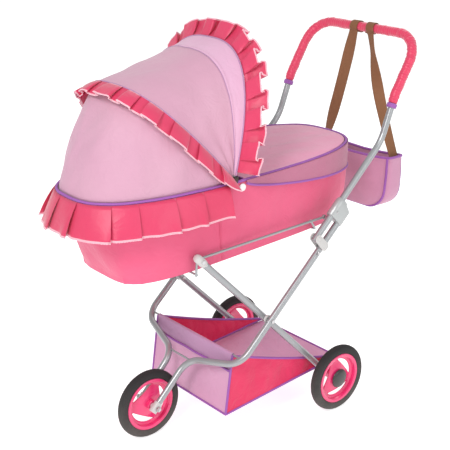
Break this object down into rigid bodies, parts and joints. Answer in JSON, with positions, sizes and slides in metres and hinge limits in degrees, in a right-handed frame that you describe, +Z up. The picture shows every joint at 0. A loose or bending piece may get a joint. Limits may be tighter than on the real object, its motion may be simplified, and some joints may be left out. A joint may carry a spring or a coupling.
{
  "type": "doll stroller",
  "caption": "Doll's pram with a fabric carrycot and hinged hood on a folding X-shaped tube frame, with a front wheel, rear wheels, basket and hanging bag.",
  "frame": {"origin": "on the floor, under the middle of the pram's overall box", "axes": "+Z up, -Y forwards to the single front wheel, +Y back to the handle bar, +X the pusher's left"},
  "size_m": [0.3502, 0.7718, 0.7912],
  "materials": {
    "silver_tube": "satin silver-grey powder coat on thin steel tube",
    "steel": "plain zinc-plated steel",
    "dark_steel": "dark bronzed clip",
    "grey_plastic": "pale grey moulded plastic, fine satin grain",
    "white_plastic": "glossy white press stud",
    "black_plastic": "black domed cap, slightly scuffed",
    "black_foam": "matt black foam tyre",
    "pink_plastic": "hot pink moulded plastic",
    "pink_cloth": "strong pink woven polyester",
    "lilac_cloth": "pale lilac-pink woven polyester",
    "hot_pink_cloth": "hot pink satin, pleated, with a pale picot edge",
    "pink_satin": "shiny hot pink satin gathered over foam",
    "purple_binding": "purple binding over cord",
    "brown_webbing": "woven brown webbing",
    "board_cloth": "cloth-covered board"
  },
  "bodies": {
    "chassis": {"left_frame_tube": "silver_tube", "right_frame_tube": "silver_tube", "fork_brace_rod": "silver_tube", "basket_front_rod": "silver_tube", "left_fork_end": "grey_plastic", "right_fork_end": "grey_plastic", "front_axle_bolt": "steel", "front_axle_nut": "steel", "left_crossing_spacer": "grey_plastic", "right_crossing_spacer": "grey_plastic", "left_crossing_rivet": "steel", "right_crossing_rivet": "steel", "left_hinge_bracket": "grey_plastic", "right_hinge_bracket": "grey_plastic", "basket": "lilac_cloth"},
    "front_wheel": {"front_tyre": "black_foam", "front_rim": "pink_plastic"},
    "rear_legs": {"left_rear_leg": "silver_tube", "right_rear_leg": "silver_tube", "left_leg_end_cap": "grey_plastic", "right_leg_end_cap": "grey_plastic", "rear_axle": "steel", "left_rail_pivot_rivet": "steel", "right_rail_pivot_rivet": "steel"},
    "left_rear_wheel": {"left_rear_tyre": "black_foam", "left_rear_rim": "pink_plastic", "left_hub_cap": "black_plastic"},
    "right_rear_wheel": {"right_rear_tyre": "black_foam", "right_rear_rim": "pink_plastic", "right_hub_cap": "black_plastic"},
    "handle": {"handle_tube": "silver_tube", "handle_grip": "pink_satin", "left_grip_band": "purple_binding", "right_grip_band": "purple_binding"},
    "left_lock": {"left_lock_sleeve": "grey_plastic"},
    "right_lock": {"right_lock_sleeve": "grey_plastic"},
    "carrycot": {"left_side_rail": "silver_tube", "right_side_rail": "silver_tube", "front_support_wire": "silver_tube", "rear_support_wire": "silver_tube", "carrycot_shell": "pink_cloth", "base_board": "board_cloth", "rim_wire": "steel", "rim_piping": "purple_binding", "foot_cover": "lilac_cloth", "foot_skirt": "lilac_cloth", "rim_ruffle": "hot_pink_cloth", "left_hood_clip": "dark_steel", "right_hood_clip": "dark_steel", "left_snap_stud": "white_plastic", "right_snap_stud": "white_plastic"},
    "hood_rear": {"rear_hoop": "steel", "head_panel": "lilac_cloth", "rear_ruffle": "hot_pink_cloth"},
    "hood_front": {"front_hoop": "steel", "hood_canopy": "lilac_cloth", "front_ruffle": "hot_pink_cloth"},
    "carry_bag": {"bag": "lilac_cloth", "left_strap": "brown_webbing", "right_strap": "brown_webbing"}
  },
  "joints": [
    {"name": "front_wheel_spin", "type": "hinge", "parent": "chassis", "child": "front_wheel", "pos_m": [0, -0.21335, 0.07], "axis": [1, 0, 0], "continuous": true},
    {"name": "handle_fold", "type": "hinge", "parent": "chassis", "child": "handle", "pos_m": [0, 0.08505, 0.3846], "axis": [1, 0, 0], "range_deg": [0, 65]},
    {"name": "rear_leg_fold", "type": "hinge", "parent": "chassis", "child": "rear_legs", "pos_m": [0, -0.02922, 0.24487], "axis": [1, 0, 0], "range_deg": [0, 17], "deforming": ["basket"]},
    {"name": "cot_link", "type": "hinge", "parent": "rear_legs", "child": "carrycot", "pos_m": [0, -0.18429, 0.39994], "axis": [1, 0, 0], "range_deg": [-4.5, 0]},
    {"name": "left_rear_wheel_spin", "type": "hinge", "parent": "rear_legs", "child": "left_rear_wheel", "pos_m": [0.1616, 0.14565, 0.07], "axis": [1, 0, 0], "continuous": true},
    {"name": "right_rear_wheel_spin", "type": "hinge", "parent": "rear_legs", "child": "right_rear_wheel", "pos_m": [-0.1616, 0.14565, 0.07], "axis": [1, 0, 0], "continuous": true},
    {"name": "left_lock_slide", "type": "slide", "parent": "handle", "child": "left_lock", "axis": [0, 0.7281, 0.6854], "range_m": [0, 0.026]},
    {"name": "right_lock_slide", "type": "slide", "parent": "handle", "child": "right_lock", "axis": [0, 0.7281, 0.6854], "range_m": [0, 0.026]},
    {"name": "hood_fold", "type": "hinge", "parent": "carrycot", "child": "hood_rear", "pos_m": [0, -0.11235, 0.5396], "axis": [1, 0, 0], "range_deg": [0, 30], "deforming": ["head_panel"]},
    {"name": "hood_front_fold", "type": "hinge", "parent": "hood_rear", "child": "hood_front", "pos_m": [0, -0.11235, 0.5396], "axis": [1, 0, 0], "range_deg": [0, 39], "deforming": ["hood_canopy"]},
    {"name": "bag_swing", "type": "hinge", "parent": "handle", "child": "carry_bag", "pos_m": [0, 0.35775, 0.7444], "axis": [1, 0, 0], "range_deg": [-10, 25]}
  ],
  "couplings": [
    {"joint": "rear_leg_fold", "follows": "handle_fold", "ratio": 0.26},
    {"joint": "cot_link", "follows": "handle_fold", "ratio": -0.066},
    {"joint": "hood_front_fold", "follows": "hood_fold", "ratio": 1.3},
    {"joint": "right_lock_slide", "follows": "left_lock_slide", "ratio": 1}
  ]
}
